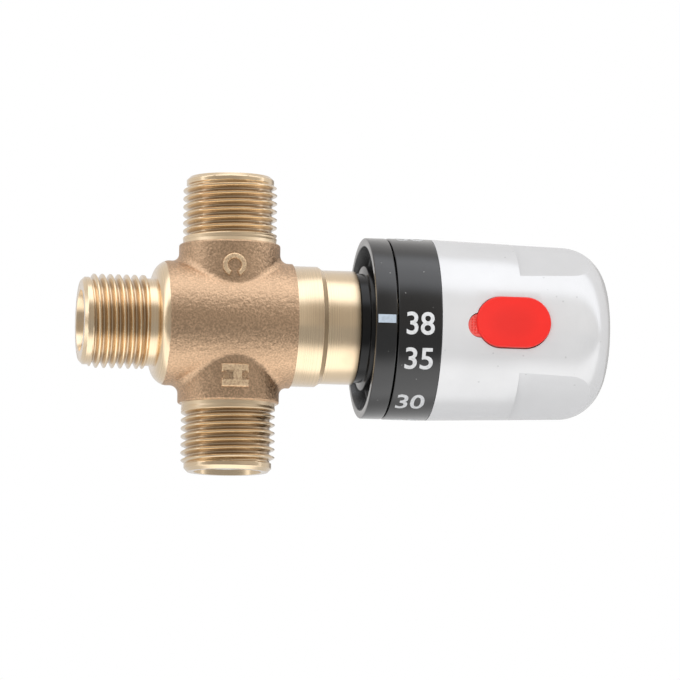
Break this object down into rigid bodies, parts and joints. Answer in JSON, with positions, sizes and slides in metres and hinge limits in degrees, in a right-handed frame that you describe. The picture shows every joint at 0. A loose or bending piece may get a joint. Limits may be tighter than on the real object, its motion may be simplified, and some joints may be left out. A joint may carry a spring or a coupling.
{
  "type": "thermostatic mixing valve",
  "caption": "Brass cross-shaped thermostatic mixing valve with male-threaded hot, cold and mixed-water ends and a temperature knob with a safety button.",
  "frame": {"origin": "centre of the mixed-water outlet's end face", "axes": "+X along the knob axis from the outlet to the knob, +Z towards the cold inlet, -Z towards the hot inlet, -Y towards the safety button and the index mark"},
  "size_m": [0.119, 0.0408, 0.066],
  "materials": {
    "cast_brass": "bead-blasted casting with turned ends",
    "turned_brass": "turned",
    "satin_silver": "satin",
    "black_plastic": "satin moulded",
    "red_plastic": "moulded",
    "stainless_steel": "bright",
    "rubber": "matte",
    "white_plastic": "moulded",
    "grey_plastic": "moulded"
  },
  "bodies": {
    "root": {"valve_body": "cast_brass", "cartridge_housing": "white_plastic", "cartridge_bonnet": "turned_brass", "cartridge_o_rings": "rubber", "index_ring": "black_plastic", "index_ring_clip": "stainless_steel", "cold_check_body": "white_plastic", "cold_check_spring": "stainless_steel", "hot_check_body": "white_plastic", "hot_check_spring": "stainless_steel", "cold_strainer": "stainless_steel", "hot_strainer": "stainless_steel", "return_spring": "stainless_steel"},
    "knob": {"handle_shell": "satin_silver", "dial_ring": "black_plastic", "spindle": "turned_brass", "spindle_o_rings": "rubber", "spindle_clip": "stainless_steel", "handle_screw": "stainless_steel", "screw_washer": "stainless_steel", "end_cap": "satin_silver", "button_spring": "stainless_steel"},
    "button": {"safety_button": "red_plastic"},
    "element": {"adjusting_nut": "turned_brass", "overload_spring": "stainless_steel", "overload_cap": "turned_brass", "element_piston": "stainless_steel", "wax_element": "turned_brass", "shuttle": "grey_plastic", "shuttle_o_ring": "rubber"},
    "cold_poppet": {"cold_check_poppet": "grey_plastic"},
    "hot_poppet": {"hot_check_poppet": "grey_plastic"}
  },
  "joints": [
    {"name": "knob_turn", "type": "hinge", "parent": "root", "child": "knob", "pos_m": [0.0785, 0, 0], "axis": [1, 0, 0], "range_deg": [-126, 84]},
    {"name": "button_press", "type": "slide", "parent": "knob", "child": "button", "axis": [0, 1, 0], "range_m": [0, 0.0018], "stiffness_N_per_m": 800, "springref_m": -0.002, "deforming": ["button_spring"]},
    {"name": "element_slide", "type": "slide", "parent": "root", "child": "element", "axis": [1, 0, 0], "range_m": [-0.00054, 0.00036], "deforming": ["return_spring"]},
    {"name": "cold_check_open", "type": "slide", "parent": "root", "child": "cold_poppet", "axis": [0, 0, -1], "range_m": [0, 0.0025], "stiffness_N_per_m": 60, "springref_m": -0.003, "deforming": ["cold_check_spring"]},
    {"name": "hot_check_open", "type": "slide", "parent": "root", "child": "hot_poppet", "axis": [0, 0, 1], "range_m": [0, 0.0025], "stiffness_N_per_m": 60, "springref_m": -0.003, "deforming": ["hot_check_spring"]}
  ],
  "couplings": [
    {"joint": "element_slide", "follows": "knob_turn", "m_per_rad": 0.00023873}
  ]
}
